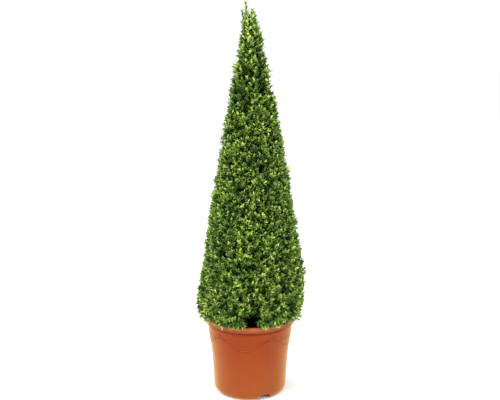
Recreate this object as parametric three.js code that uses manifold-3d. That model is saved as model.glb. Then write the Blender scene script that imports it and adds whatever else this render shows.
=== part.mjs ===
// A boxwood clipped to a cone, in its plastic grower's pot with a broad collar.
// Millimetres, +Z up, the front towards -Y and +X to the right. The origin is the
// middle of the pot's flat underside.
import * as THREE from "three";
import { mergeVertices } from "three/addons/utils/BufferGeometryUtils.js";
import Module from "manifold-3d";

// ---- Driving dimensions -------------------------------------------------------

// The pot: a flat foot, a wall in two slopes, and a collar that stands out from it.
const POT_HEIGHT = 283;
const RIM_RADIUS = 165;
const RIM_THICKNESS = 5;
const COLLAR_DEPTH = 21;
const COLLAR_FOOT_RADIUS = 164;
const COLLAR_STEP = 11;
const WAIST_HEIGHT = 130;
const WAIST_RADIUS = 135.3;
const FOOT_RADIUS = 128;
const FOOT_ROUNDING = 18;
const POT_WALL = 3;
const POT_SEGMENTS = 64;

// Drain channels: tunnels under the floor that show as notches in the foot.
const CHANNEL_BEARINGS = [23.5, 143.5, 263.5]; // degrees round from the front, towards +X
const CHANNEL_WIDTH = 59;
const CHANNEL_TOP_WIDTH = 33;
const CHANNEL_HEIGHT = 19;
const CHANNEL_INNER_RADIUS = 78;
const DRAIN_HOLE_RADIUS = 6;
const DRAIN_HOLE_PLACE = 94;

// The compost, dished from the stem out to the wall.
const COMPOST_HEIGHT = 262;
const COMPOST_EDGE_HEIGHT = 256;
const COMPOST_FLAT_RADIUS = 34;

// The stem: a short woody foot with a root flare, cut flat at the compost.
const STEM_LENGTH = 84;
const STEM_RADIUS = 14;
const STEM_TOP_RADIUS = 11.5;
const STEM_FLARE = 10;
const STEM_FLARE_HEIGHT = 12;
const STEM_ROOTS = 5;
const STEM_LEAN = 7;

// The crown: a skirt of one width, then a taper to the tip with a slight belly.
const CROWN_RADIUS = 190;
const SKIRT_LOW = 325;
const SKIRT_HIGH = 380;
const TIP_HEIGHT = 1370;
const CROWN_TAPER = 0.8; // 1 would be a straight cone
const SKIRT_TUCK = 0.0028; // how fast the skirt turns in towards its lower edge
const CROWN_LEAN = 8; // the middle of the crown stands this far towards +X
const SKIRT_EDGE_HEIGHT = 291;
const LOWER_SEAM = 590;
const UPPER_SEAM = 960;
const CROWN_TOP = 1284;
const SEAM_WAVE = 0.08; // of the crown's radius at the seam

// The crown's underside from its middle to its edge, as [radius, height]. It lies just
// over the compost in the pot's mouth and passes over the rim.
const UNDERSIDE = [
  [40, 268],
  [75, 267],
  [105, 267],
  [145, 268],
  [150, 288],
  [168, 288],
];

// The hollow low on the front of the skirt.
const HOLLOW_BEARING = 1;
const HOLLOW_HALF_WIDTH = 13; // degrees
const HOLLOW_HEIGHT = 50;

// The unclipped shoots on top, each from its foot on the crown to its own tip.
const SPIRES = [
  { name: "leader_spire", foot: [-4, 2], tip: [-14, 1, 1367], radius: 8.6, point: 0.85 },
  { name: "right_spire", foot: [15, 1], tip: [10, 2, 1342], radius: 9.6, point: 0.45 },
  { name: "left_spire", foot: [-20, -2], tip: [-28, -3, 1340], radius: 6.4, point: 0.8 },
];

const GAP = 0.4; // between pieces that touch
const MASS_GAP = 1; // between one mass of foliage and the next

// ---- Solids ---------------------------------------------------------------------

const wasm = await Module();
wasm.setup();

// A closed geometry as a solid that can be joined and cut.
function toSolid(geometry) {
  const bare = geometry.clone();
  bare.deleteAttribute("normal");
  bare.deleteAttribute("uv");
  const merged = mergeVertices(bare, 1e-3);
  return new wasm.Manifold(
    new wasm.Mesh({
      numProp: 3,
      vertProperties: merged.attributes.position.array,
      triVerts: new Uint32Array(merged.index.array),
    }),
  );
}

function toGeometry(solid) {
  const mesh = solid.getMesh();
  const geometry = new THREE.BufferGeometry();
  geometry.setAttribute("position", new THREE.BufferAttribute(mesh.vertProperties, 3));
  geometry.setIndex(new THREE.BufferAttribute(mesh.triVerts, 1));
  geometry.computeVertexNormals();
  return geometry;
}

// A profile of [radius, height] points, from axis to axis, turned about Z.
function turned(profile) {
  const points = profile.map(([radius, height]) => new THREE.Vector2(radius, height));
  return new THREE.LatheGeometry(points, POT_SEGMENTS).rotateX(Math.PI / 2);
}

// A closed skin over rows and columns: pointAt(row, angle) gives a point, the rows run
// from a pole at the bottom to a pole at the top, and the columns run round +Z.
function closedSkin(pointAt, rows, columns) {
  const positions = [...pointAt(0, 0)];
  const index = [];
  const vertex = (row, column) => 1 + (row - 1) * columns + (column % columns);
  for (let row = 1; row < rows; row++) {
    for (let column = 0; column < columns; column++) {
      positions.push(...pointAt(row, (2 * Math.PI * column) / columns));
    }
  }
  const top = positions.length / 3;
  positions.push(...pointAt(rows, 0));
  for (let column = 0; column < columns; column++) {
    index.push(0, vertex(1, column + 1), vertex(1, column));
    index.push(top, vertex(rows - 1, column), vertex(rows - 1, column + 1));
    for (let row = 1; row < rows - 1; row++) {
      const [a, b] = [vertex(row, column), vertex(row, column + 1)];
      const [c, d] = [vertex(row + 1, column + 1), vertex(row + 1, column)];
      index.push(a, b, c, a, c, d);
    }
  }
  const geometry = new THREE.BufferGeometry();
  geometry.setAttribute("position", new THREE.Float32BufferAttribute(positions, 3));
  geometry.setIndex(index);
  geometry.computeVertexNormals();
  return geometry;
}

const radians = THREE.MathUtils.degToRad;
const lerp = THREE.MathUtils.lerp;
const smoothstep = THREE.MathUtils.smoothstep;

// The second value of a line of [first, second] points where its first value is at.
function alongLine(line, at) {
  const next = line.findIndex(([first]) => first > at);
  if (next === 0) return line[0][1];
  if (next < 0) return line.at(-1)[1];
  const [from, to] = [line[next - 1], line[next]];
  return lerp(from[1], to[1], (at - from[0]) / (to[0] - from[0]));
}

// ---- Pot --------------------------------------------------------------------------

const COLLAR_FOOT = POT_HEIGHT - COLLAR_DEPTH;
const WALL_TOP_RADIUS = COLLAR_FOOT_RADIUS - COLLAR_STEP;

// The outside of the pot from the middle of its underside up to the rim.
function potOutside() {
  const outline = [[0, 0]];
  const steps = 5;
  for (let i = 0; i <= steps; i++) {
    const turn = (Math.PI / 2) * (i / steps);
    outline.push([
      FOOT_RADIUS - FOOT_ROUNDING + FOOT_ROUNDING * Math.sin(turn),
      FOOT_ROUNDING * (1 - Math.cos(turn)),
    ]);
  }
  outline.push([WAIST_RADIUS - 0.5, WAIST_HEIGHT - 10]);
  outline.push([WAIST_RADIUS + 1, WAIST_HEIGHT + 10]);
  outline.push([WALL_TOP_RADIUS, COLLAR_FOOT]);
  outline.push([COLLAR_FOOT_RADIUS, COLLAR_FOOT + 1]);
  outline.push([RIM_RADIUS - 0.6, POT_HEIGHT - COLLAR_DEPTH / 2]);
  outline.push([RIM_RADIUS, POT_HEIGHT - 2.5]);
  outline.push([RIM_RADIUS - 1.5, POT_HEIGHT]);
  return outline;
}

// The inside of the pot from the rim down to the middle of its floor, moved in by inset.
function potInside(inset) {
  const wall = POT_WALL + inset;
  return [
    [RIM_RADIUS - RIM_THICKNESS - inset, POT_HEIGHT],
    [COLLAR_FOOT_RADIUS - wall, COLLAR_FOOT + wall + 1.5],
    [WALL_TOP_RADIUS - wall, COLLAR_FOOT + wall],
    [WAIST_RADIUS - wall, WAIST_HEIGHT],
    [FOOT_RADIUS - wall - 1, FOOT_ROUNDING + 6],
    [FOOT_RADIUS - wall - 10, wall],
    [0, wall],
  ];
}

// A tunnel of the drain channel's section, grown by wall, from its inner end out past the
// rim. It starts a little below the underside, so that a cut goes clean through.
function channel(bearing, wall) {
  const below = 1;
  const half = CHANNEL_WIDTH / 2 + wall;
  const halfTop = CHANNEL_TOP_WIDTH / 2 + wall;
  const section = new THREE.Shape([
    new THREE.Vector2(-half, -below),
    new THREE.Vector2(half, -below),
    new THREE.Vector2(halfTop, CHANNEL_HEIGHT + wall),
    new THREE.Vector2(-halfTop, CHANNEL_HEIGHT + wall),
  ]);
  const inner = CHANNEL_INNER_RADIUS - wall;
  return toSolid(
    new THREE.ExtrudeGeometry(section, { depth: RIM_RADIUS - inner, bevelEnabled: false })
      .rotateX(Math.PI / 2)
      .translate(0, -inner, 0)
      .rotateZ(radians(bearing)),
  );
}

function drainHole(bearing) {
  return toSolid(
    new THREE.CylinderGeometry(DRAIN_HOLE_RADIUS, DRAIN_HOLE_RADIUS, 4 * POT_WALL, 20)
      .rotateX(Math.PI / 2)
      .translate(0, -DRAIN_HOLE_PLACE, CHANNEL_HEIGHT + POT_WALL / 2)
      .rotateZ(radians(bearing)),
  );
}

function potSolid() {
  const outside = potOutside();
  const envelope = toSolid(turned([...outside, [0, POT_HEIGHT]]));
  let pot = toSolid(turned([...outside, ...potInside(0)]));
  for (const bearing of CHANNEL_BEARINGS) {
    const housing = channel(bearing, POT_WALL).intersect(envelope);
    pot = pot.add(housing).subtract(channel(bearing, 0)).subtract(drainHole(bearing));
  }
  return pot;
}

// ---- Compost ------------------------------------------------------------------------

// The compost fills the pot from its floor up to a top that falls from stem to wall.
function compostSolid() {
  const rising = potInside(GAP).reverse();
  const inside = rising.filter(([, height]) => height < COMPOST_EDGE_HEIGHT);
  const edge = alongLine(rising.map(([radius, height]) => [height, radius]), COMPOST_EDGE_HEIGHT);
  let compost = toSolid(
    turned([
      ...inside,
      [edge, COMPOST_EDGE_HEIGHT],
      [lerp(COMPOST_FLAT_RADIUS, edge, 0.6), COMPOST_HEIGHT - 1],
      [COMPOST_FLAT_RADIUS, COMPOST_HEIGHT],
      [0, COMPOST_HEIGHT],
    ]),
  );
  for (const bearing of CHANNEL_BEARINGS) {
    compost = compost.subtract(channel(bearing, POT_WALL + GAP));
  }
  return compost;
}

// ---- Stem -----------------------------------------------------------------------------

// The stem's skin, grown outwards and upwards by margin. Its rings are closest together
// in the root flare, which dies away upwards and has a ridge over each root.
function stemSkin(margin) {
  const rings = 9;
  const rows = rings + 1;
  const pointAt = (row, angle) => {
    const ring = Math.min(Math.max(row - 1, 0), rings - 1);
    const t = (ring / (rings - 1)) ** 1.6;
    const flare = Math.exp((-t * STEM_LENGTH) / STEM_FLARE_HEIGHT);
    const ridge = 0.16 * flare * Math.cos(STEM_ROOTS * angle + 0.7);
    const oval = 0.03 * Math.cos(2 * angle + 4 * t);
    const girth = lerp(STEM_RADIUS, STEM_TOP_RADIUS, t) + STEM_FLARE * flare;
    const pole = row === 0 || row === rows;
    const radius = pole ? 0 : girth * (1 + ridge + oval) + margin;
    return [
      STEM_LEAN * t ** 1.5 + radius * Math.cos(angle),
      2 * Math.sin(3 * t) + radius * Math.sin(angle),
      COMPOST_HEIGHT + GAP + t * (STEM_LENGTH + margin),
    ];
  };
  return closedSkin(pointAt, rows, 24);
}

// ---- Crown ------------------------------------------------------------------------------

// The crown's mean radius at a height.
function crownRadius(z) {
  if (z < SKIRT_LOW) return CROWN_RADIUS - SKIRT_TUCK * (SKIRT_LOW - z) ** 2;
  if (z < SKIRT_HIGH) return CROWN_RADIUS;
  return CROWN_RADIUS * ((TIP_HEIGHT - z) / (TIP_HEIGHT - SKIRT_HIGH)) ** CROWN_TAPER;
}

// How far the clipped face stands out or in, in millimetres: soft lumps a hand or two
// apart, deeper on the looser top than on the close-clipped lower part.
function lumps(angle, z) {
  const loose = smoothstep(z, LOWER_SEAM, UPPER_SEAM + 120);
  const size = lerp(1.7, 2.6, loose);
  return (
    size *
    (Math.sin(3 * angle + z / 62) +
      0.8 * Math.sin(5 * angle - z / 41 + 1.3) +
      0.6 * Math.sin(7 * angle + z / 27 + 2.6)) *
    Math.min(1, crownRadius(z) / 60)
  );
}

// The crown's middle line leans towards +X over the skirt and part of the way back above.
function crownMiddle(z) {
  const back = smoothstep(z, UPPER_SEAM, CROWN_TOP);
  return CROWN_LEAN * smoothstep(z, COMPOST_HEIGHT, 430) * (1 - 0.4 * back);
}

// The uneven level at which one mass ends and the next begins, as a height for a radius
// and an angle, moved up by offset.
function seam(height, offset) {
  return (radius, angle) => {
    const wave = 0.6 * Math.sin(2 * angle + height / 80) + 0.4 * Math.sin(5 * angle + 1.1);
    return height + offset + SEAM_WAVE * radius * wave;
  };
}

// The underside of the skirt, raised over the hollow at the front.
function underside(radius, angle) {
  const edge = crownRadius(SKIRT_EDGE_HEIGHT);
  const fromFront = Math.atan2(Math.cos(angle), -Math.sin(angle));
  const across = (fromFront - radians(HOLLOW_BEARING)) / radians(HOLLOW_HALF_WIDTH);
  const arch = HOLLOW_HEIGHT * Math.exp(-(across ** 4)) * smoothstep(radius, 75, 110);
  const ragged = 3 * (1 + Math.sin(6 * angle) * Math.cos(11 * angle));
  return alongLine(UNDERSIDE, radius) + arch + ragged * smoothstep(radius, 150, edge);
}

// One mass of the crown. floor and ceiling give its lower and upper surface at a radius
// and an angle; floorRings are the radii of the rings in its floor, out to the last one,
// floorEdge, where the clipped face begins; the face ends at ceilingEdge.
function crownMass({ floor, ceiling, floorRings, floorEdge, ceilingEdge, faceRows, columns }) {
  const ceilingRings = [0.8, 0.5, 0.25].map((fraction) => fraction * ceilingEdge);
  const faceStart = floorRings.length + 1;
  const faceEnd = faceStart + faceRows;
  const rows = faceEnd + ceilingRings.length + 1;
  const pointAt = (row, angle) => {
    const low = floor(floorEdge, angle);
    const high = ceiling(ceilingEdge, angle);
    let radius;
    let z;
    let middle;
    if (row < faceStart) {
      radius = row === 0 ? 0 : floorRings[row - 1];
      z = floor(radius, angle);
      middle = crownMiddle(floor(0, 0));
    } else if (row <= faceEnd) {
      z = lerp(low, high, (row - faceStart) / faceRows);
      radius = crownRadius(z) + lumps(angle, z);
      middle = crownMiddle(z);
    } else {
      radius = row === rows ? 0 : ceilingRings[row - faceEnd - 1];
      z = ceiling(radius, angle);
      middle = crownMiddle(ceiling(0, 0));
    }
    return [middle + radius * Math.cos(angle), radius * Math.sin(angle), z];
  };
  return closedSkin(pointAt, rows, columns);
}

// The three masses of the clipped cone, from the skirt up, with a gap at each seam.
function crownMasses() {
  const seamRings = (height) => [0.25, 0.5, 0.8].map((f) => f * crownRadius(height));
  const base = crownMass({
    floor: underside,
    ceiling: seam(LOWER_SEAM, -MASS_GAP / 2),
    floorRings: UNDERSIDE.map(([radius]) => radius),
    floorEdge: crownRadius(SKIRT_EDGE_HEIGHT),
    ceilingEdge: crownRadius(LOWER_SEAM),
    faceRows: 8,
    columns: 48,
  });
  const middle = crownMass({
    floor: seam(LOWER_SEAM, MASS_GAP / 2),
    ceiling: seam(UPPER_SEAM, -MASS_GAP / 2),
    floorRings: seamRings(LOWER_SEAM),
    floorEdge: crownRadius(LOWER_SEAM),
    ceilingEdge: crownRadius(UPPER_SEAM),
    faceRows: 10,
    columns: 40,
  });
  const top = crownMass({
    floor: seam(UPPER_SEAM, MASS_GAP / 2),
    ceiling: () => CROWN_TOP,
    floorRings: seamRings(UPPER_SEAM),
    floorEdge: crownRadius(UPPER_SEAM),
    ceilingEdge: crownRadius(CROWN_TOP),
    faceRows: 12,
    columns: 32,
  });
  return { base, middle, top };
}

// A pointed shoot of leaves that stands on the crown's top: a little wider above its
// foot, lumpy, and bending over to its tip. A small point gives a round end.
function spireSkin({ foot, tip, radius, point }) {
  const rows = 11;
  const pointAt = (row, angle) => {
    const t = Math.min(1, Math.max(0, row - 1) / (rows - 1));
    const swell = 1 + 0.1 * Math.sin(9 * t + radius) + 0.1 * Math.sin(3 * angle + 4 * t);
    const girth = radius * (0.9 + 0.6 * t) * (1 - t) ** point * swell;
    const r = row === 0 || row === rows ? 0 : girth;
    return [
      lerp(foot[0], tip[0], t ** 1.4) + r * Math.cos(angle),
      lerp(foot[1], tip[1], t) + r * Math.sin(angle),
      lerp(CROWN_TOP + GAP, tip[2], t),
    ];
  };
  return closedSkin(pointAt, rows, 12);
}

// ---- Assembly -------------------------------------------------------------------------------

function material(color, roughness) {
  return new THREE.MeshStandardMaterial({ color, roughness, metalness: 0 });
}

function piece(name, geometry, look) {
  const mesh = new THREE.Mesh(geometry, look);
  mesh.name = name;
  return mesh;
}

const topiary = new THREE.Group();
const stemRoom = toSolid(stemSkin(2 * GAP));
const masses = crownMasses();

topiary.add(piece("pot", toGeometry(potSolid()), material(0xbc5f32, 0.45)));
topiary.add(piece("compost", toGeometry(compostSolid()), material(0x2b2019, 0.95)));
topiary.add(piece("stem", stemSkin(0), material(0x7a6a52, 0.85)));
topiary.add(
  piece(
    "foliage_base",
    toGeometry(toSolid(masses.base).subtract(stemRoom)),
    material(0x4a6428, 0.6),
  ),
);
topiary.add(piece("foliage_middle", masses.middle, material(0x4f6a29, 0.6)));
topiary.add(piece("foliage_top", masses.top, material(0x54652f, 0.6)));
for (const spire of SPIRES) {
  topiary.add(piece(spire.name, spireSkin(spire), material(0x79903f, 0.6)));
}

export default topiary;
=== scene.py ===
# %% [markdown]
# # A boxwood cone in its pot
# A boxwood shrub, clipped to a tall cone, stands in a terracotta-coloured plastic pot.
# Its crown is one dense skin of small glossy leaves over a hidden frame of wood, close
# and even below, loose and shaggy towards the tip, where a few shoots were never cut.
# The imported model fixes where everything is: the pot, the compost, the foot of the
# stem, and a closed solid for each mass of leaves. This lesson loads that frame, reads
# sizes and surfaces from it, and grows the visible plant inside it.

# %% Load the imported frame
import math

import bpy
import numpy as np
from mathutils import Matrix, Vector
from mathutils.bvhtree import BVHTree


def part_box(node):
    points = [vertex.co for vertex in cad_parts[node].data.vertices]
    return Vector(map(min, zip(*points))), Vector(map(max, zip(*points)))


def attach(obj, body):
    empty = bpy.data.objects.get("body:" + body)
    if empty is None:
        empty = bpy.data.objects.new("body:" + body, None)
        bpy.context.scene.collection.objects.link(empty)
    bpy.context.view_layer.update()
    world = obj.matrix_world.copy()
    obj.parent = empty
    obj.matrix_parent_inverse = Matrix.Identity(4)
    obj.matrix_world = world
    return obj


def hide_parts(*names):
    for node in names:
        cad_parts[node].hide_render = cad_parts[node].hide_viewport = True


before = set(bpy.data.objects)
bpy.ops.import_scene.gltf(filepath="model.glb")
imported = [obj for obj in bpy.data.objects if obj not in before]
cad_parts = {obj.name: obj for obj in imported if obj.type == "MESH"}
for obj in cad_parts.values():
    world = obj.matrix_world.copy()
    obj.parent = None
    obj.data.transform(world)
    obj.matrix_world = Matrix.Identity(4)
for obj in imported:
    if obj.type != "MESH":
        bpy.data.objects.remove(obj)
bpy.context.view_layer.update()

MM = 0.001  # a millimetre, in the scene's metres

# %% [markdown]
# ## The camera
# A plant in a catalogue is seen from a little above its middle, far enough back that
# the cone doesn't taper by perspective. The camera stands level with the upper crown
# and looks down by eleven degrees, through a lens a little longer than normal.

# %% Place the camera
CAMERA_PLACE = (0.0, -2.586, 1.212)
CAMERA_DIP = 11.36  # degrees below the horizon
CAMERA_LENS = 54.5


def new_object(name, data):
    """An object that holds the data, linked to the scene."""
    made = bpy.data.objects.new(name, data)
    bpy.context.scene.collection.objects.link(made)
    return made


camera = new_object("camera", bpy.data.cameras.new("camera"))
camera.data.lens = CAMERA_LENS
camera.data.sensor_width = 36.0
camera.location = CAMERA_PLACE
camera.rotation_euler = (math.radians(90 - CAMERA_DIP), 0, 0)
bpy.context.scene.camera = camera
print("camera", CAMERA_PLACE, "lens", CAMERA_LENS, "mm")

# %% [markdown]
# ## Helpers for materials
# Colours are written as sRGB hex values, as a paint chart gives them, and Blender wants
# linear light, so one function turns them. A material starts from the Principled
# shader, and one more function adds a node with its settings and its links.

# %% Colour and node helpers
def linear(hex_colour):
    """An sRGB hex colour as linear RGBA: c / 12.92 in the shade, a 2.4 power above it."""
    value = np.array([int(hex_colour[i : i + 2], 16) for i in (1, 3, 5)]) / 255
    low = value / 12.92
    high = ((value + 0.055) / 1.055) ** 2.4
    return (*np.where(value <= 0.04045, low, high).tolist(), 1.0)


def set_inputs(tree, node, inputs):
    """Each input is set to its value, or linked to a socket or a node's first output."""
    for name, value in inputs.items():
        source = value.outputs[0] if isinstance(value, bpy.types.Node) else value
        if isinstance(source, bpy.types.NodeSocket):
            tree.links.new(source, node.inputs[name])
        else:
            node.inputs[name].default_value = value


def add_node(tree, kind, inputs=None, stops=(), **settings):
    """A shader node with its settings, its inputs, and the stops of a colour ramp."""
    node = tree.nodes.new("ShaderNode" + kind)
    for name, value in settings.items():
        setattr(node, name, value)
    set_inputs(tree, node, inputs or {})
    while stops and len(node.color_ramp.elements) < len(stops):
        node.color_ramp.elements.new(0.5)
    for index, (place, colour) in enumerate(stops):
        node.color_ramp.elements[index].position = place
        node.color_ramp.elements[index].color = linear(colour)
    return node


def new_material(name, **sockets):
    """A material of one Principled shader with constant sockets: its tree and shader."""
    material = bpy.data.materials.new(name)
    material.use_nodes = True
    tree = material.node_tree
    tree.nodes.clear()
    inputs = {key.replace("_", " "): value for key, value in sockets.items()}
    shader = add_node(tree, "BsdfPrincipled", inputs)
    add_node(tree, "OutputMaterial", {"Surface": shader})
    return material, tree, shader


print("mid grey in linear light:", round(linear("#808080")[0], 3))

# %% [markdown]
# ## Helpers for meshes
# Every new piece is an array of points and a few arrays of faces, worked out whole by
# numpy. One function puts them into a mesh, rides it on the plant's one body, names
# its material slot, and hides the solids of the frame that it stands for.

# %% Put arrays into a mesh
def mesh_piece(name, points, faces, material, stands_for=()):
    """points is (n, 3) in metres; faces is a list of index arrays, each (m, corners)."""
    corners = np.concatenate([f.ravel() for f in faces]).astype(np.int32)
    totals = np.concatenate([np.full(len(f), f.shape[1]) for f in faces])
    starts = np.concatenate([[0], np.cumsum(totals)[:-1]]).astype(np.int32)
    mesh = bpy.data.meshes.new(name)
    mesh.vertices.add(len(points))
    mesh.vertices.foreach_set("co", points.astype(np.float32).ravel())
    mesh.loops.add(len(corners))
    mesh.loops.foreach_set("vertex_index", corners)
    mesh.polygons.add(len(totals))
    mesh.polygons.foreach_set("loop_start", starts)
    mesh.polygons.foreach_set("use_smooth", np.full(len(totals), True))
    mesh.update(calc_edges=True)
    mesh.validate()
    mesh.materials.append(material)
    piece = new_object(name, mesh)
    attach(piece, "root")
    if stands_for:
        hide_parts(*stands_for)
    print(name, len(points), "points,", int((totals - 2).sum()), "triangles")


print("solids of the frame to stand for:", len(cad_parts))

# %% [markdown]
# The shapes themselves need only a few tools: vectors of length one, a soft step, rings
# of points sewn into a closed skin, and a soft noise that is the same on every run.

# %% Tools for shapes
def unit(vectors):
    """Vectors of length one along the last axis."""
    return vectors / np.maximum(np.linalg.norm(vectors, axis=-1, keepdims=True), 1e-9)


def round_angles(count):
    """Angles that share out a full turn evenly, from zero."""
    return np.linspace(0, 2 * np.pi, count, endpoint=False)


def smooth_step(value, low, high):
    """0 below low, 1 above high, and 3t^2 - 2t^3 between them."""
    t = np.clip((value - low) / (high - low), 0, 1)
    return t * t * (3 - 2 * t)


def ring_faces(rings, columns):
    """Quads between rings of points that each close on themselves."""
    row, column = np.meshgrid(np.arange(rings - 1), np.arange(columns), indexing="ij")
    right = (column + 1) % columns
    quads = [row * columns + column, row * columns + right]
    quads += [(row + 1) * columns + right, (row + 1) * columns + column]
    return np.stack(quads, -1).reshape(-1, 4)


def capped_rings(first_pole, rings, last_pole):
    """Rings (r, c, 3) with a pole at each end: the points and the face arrays."""
    count, columns = rings.shape[:2]
    points = np.concatenate([rings.reshape(-1, 3), [first_pole, last_pole]])
    around = np.arange(columns)
    after = (around + 1) % columns
    pole = np.full(columns, count * columns)
    last = (count - 1) * columns
    first_fan = np.stack([pole, after, around], -1)
    last_fan = np.stack([pole + 1, last + around, last + after], -1)
    return points, [ring_faces(count, columns), first_fan, last_fan]


SINES = 5  # in each octave
SINES_TO_ONE = 4.5  # brings their sum near one


def ripple(points, size, seed, octaves=3):
    """Soft noise near -1..1: sums of sines along seeded directions, halving in size."""
    draw = np.random.default_rng(seed)
    total = np.zeros(points.shape[:-1])
    for octave in range(octaves):
        for _ in range(SINES):
            way = unit(draw.normal(size=3)) * 2 * np.pi / (size / 2**octave)
            total += np.sin(points @ way + draw.uniform(0, 2 * np.pi)) / 2**octave
    return total / SINES_TO_ONE


print("a soft step halfway:", smooth_step(0.5, 0, 1))

# %% [markdown]
# ## The pot
# The pot is injection-moulded polypropylene: a thin turned shell with a flat foot, a
# wall in two slopes and a broad collar with a rolled rim. It could be a lathe and a
# boolean for each drain channel, but a height field is tidier. The section is a line
# of rounded corners, turned about the axis, and where a channel runs under the floor
# the points are lifted to its roof, which also opens the notch in the foot.

# %% The pot's section
pot_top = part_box("pot")[1]
POT_HEIGHT = pot_top.z / MM
RIM_RADIUS = pot_top.x / MM
COLLAR_HEIGHT = POT_HEIGHT - 21  # where the collar steps out from the wall
COLLAR_RADIUS = RIM_RADIUS - 1
WALL_TOP_RADIUS = RIM_RADIUS - 12
WAIST_HEIGHT = 130
WAIST_RADIUS = 135.3
WALL = 3

# (radius, height, rounding) of each corner from the underside to the rim and back. The
# collar stands out from the wall by a finger's width, over a groove in the wall.
POT_CORNERS = [
    (128, 0, 19),
    (WAIST_RADIUS, WAIST_HEIGHT, 60),
    (WALL_TOP_RADIUS - 0.4, COLLAR_HEIGHT - 9, 0.8),
    (WALL_TOP_RADIUS - 2.6, COLLAR_HEIGHT - 8, 0.5),
    (WALL_TOP_RADIUS - 2.6, COLLAR_HEIGHT - 4, 0.8),
    (WALL_TOP_RADIUS, COLLAR_HEIGHT - 1.5, 1.2),
    (COLLAR_RADIUS, COLLAR_HEIGHT, 1.2),
    (COLLAR_RADIUS + 0.4, COLLAR_HEIGHT + 10, 5),
    (RIM_RADIUS, POT_HEIGHT - 5.5, 2),
    (RIM_RADIUS, POT_HEIGHT - 3.5, 3.5),
    (RIM_RADIUS - 3.6, POT_HEIGHT, 3.5),
    (RIM_RADIUS - 5, POT_HEIGHT - 0.8, 1.5),
    (COLLAR_RADIUS - WALL, COLLAR_HEIGHT + 5, 3),
    (WALL_TOP_RADIUS - WALL, COLLAR_HEIGHT + 1.5, 2),
    (WAIST_RADIUS - WALL, WAIST_HEIGHT, 60),
    (124.5, 3, 12),
]
POT_START = (0, 0)
POT_END = (0, WALL)


def share_out(start, end, spacing):
    """Points about a spacing apart on the way from start to end, without start itself."""
    count = max(1, int(np.linalg.norm(end - start) / spacing))
    return [start + (end - start) * t for t in np.linspace(0, 1, count + 1)[1:]]


def rounded_section(start, corners, end, steps=5, spacing=5.0):
    """A polyline with each corner rounded by a parabola that touches both its sides."""
    places = np.array([start, *[c[:2] for c in corners], end], float)
    line = [places[0]]
    for i, (_, _, rounding) in enumerate(corners, 1):
        before, after = places[i - 1] - places[i], places[i + 1] - places[i]
        reach = min(rounding, 0.45 * np.linalg.norm(before), 0.45 * np.linalg.norm(after))
        arc_start = places[i] + unit(before) * reach
        arc_end = places[i] + unit(after) * reach
        line += share_out(line[-1], arc_start, spacing)
        for t in np.linspace(0, 1, steps)[1:]:
            line.append((1 - t) ** 2 * arc_start + 2 * t * (1 - t) * places[i] + t * t * arc_end)
    line += share_out(line[-1], places[-1], 3 * spacing)
    return np.array(line)


section = rounded_section(POT_START, POT_CORNERS, POT_END)
print("pot section:", len(section), "points, rim radius", round(RIM_RADIUS, 1), "mm")

# %% [markdown]
# Cloth swags hang in low relief round the upper wall, knotted in a bow at each fifth of
# the way. The relief is about a millimetre and a half deep, and it shows only by its
# edges, so it is real shape: a height over the wall, as a function of the bearing and
# of the height. Each of a swag's two folds swells slowly towards its lower edge and
# ends there in a small undercut, as draped cloth does. The section gets a point every
# 0.8 mm across the swags, so that these edges stay crisp.

# %% The moulded swags
SWAG_COUNT = 5
SWAG_SPAN = 360 / SWAG_COUNT
BOW_BEARING = 28.5  # degrees from the front, towards +X
BOW_HEIGHT = 231
SWAG_FOLDS = ((17, 1.5), (41, 1.9))  # drop of each fold's lower edge, and its bow
SWAG_RELIEF = 1.5
UNDERCUT = 1.3
SWAG_LOW, SWAG_HIGH = BOW_HEIGHT - 50, BOW_HEIGHT + 12  # the band that they hang in
SWAG_SPACING = 0.8
# The bow's right half, (x, y) from its knot: start, end and width of each ridge.
BOW_TAIL = ((4, -2), (19, -13), 3.4)
BOW_LOOP = ((4, 1.5), (11, 5), 4.5)
BOW_KNOT = ((0, -2), (0, 2), 5)
BOW_RELIEF = 1.6
BOW_GROOVE = 1.2


def fold(height, lower, upper, reach):
    """A wedge from the upper to the lower edge, and a groove under it, times reach."""
    across = np.clip((upper - height) / np.maximum(upper - lower, 1), 0, 1)
    wedge = SWAG_RELIEF * across**1.5 * smooth_step(height, lower - 0.5, lower + 0.5)
    groove = UNDERCUT * (1 - smooth_step(np.abs(height - lower + 1.7), 0.5, 1.5))
    return (wedge - groove) * reach


def stroke(x, y, start, end, width):
    """A rounded ridge between two points: 1 inside its width, with a groove round it."""
    along = np.subtract(end, start)
    t = (x - start[0]) * along[0] + (y - start[1]) * along[1]
    t = np.clip(t / (along @ along), 0, 1)
    away = np.hypot(x - start[0] - t * along[0], y - start[1] - t * along[1])
    ridge = 1 - smooth_step(away, 0.3 * width, 0.5 * width + 0.3)
    groove = 1 - smooth_step(np.abs(away - 0.5 * width - 1.1), 0.3, 1.1)
    return ridge, groove


def swag_relief(bearing, height, radius):
    """Millimetres that the wall stands out: two folds between bows, and the bows."""
    place = ((bearing - BOW_BEARING) % SWAG_SPAN) / SWAG_SPAN
    hang = 4 * place * (1 - place)
    reach = smooth_step(hang, 0.02, 0.2)
    relief, upper = np.zeros_like(height), BOW_HEIGHT + 0 * height
    for drop, bow in SWAG_FOLDS:
        lower = BOW_HEIGHT - 1 - drop * hang**bow
        relief = relief + fold(height, lower, upper, reach)
        upper = lower - 2.6
    from_bow = (bearing - BOW_BEARING + SWAG_SPAN / 2) % SWAG_SPAN - SWAG_SPAN / 2
    x, y = np.abs(from_bow * np.pi / 180 * radius), height - BOW_HEIGHT
    for part in (BOW_TAIL, BOW_LOOP, BOW_KNOT):
        ridge, groove = stroke(x, y, *part)
        kept = relief * (1 - np.maximum(ridge, groove))
        relief = kept + BOW_RELIEF * ridge - BOW_GROOVE * groove * (1 - ridge)
    return relief


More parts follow.
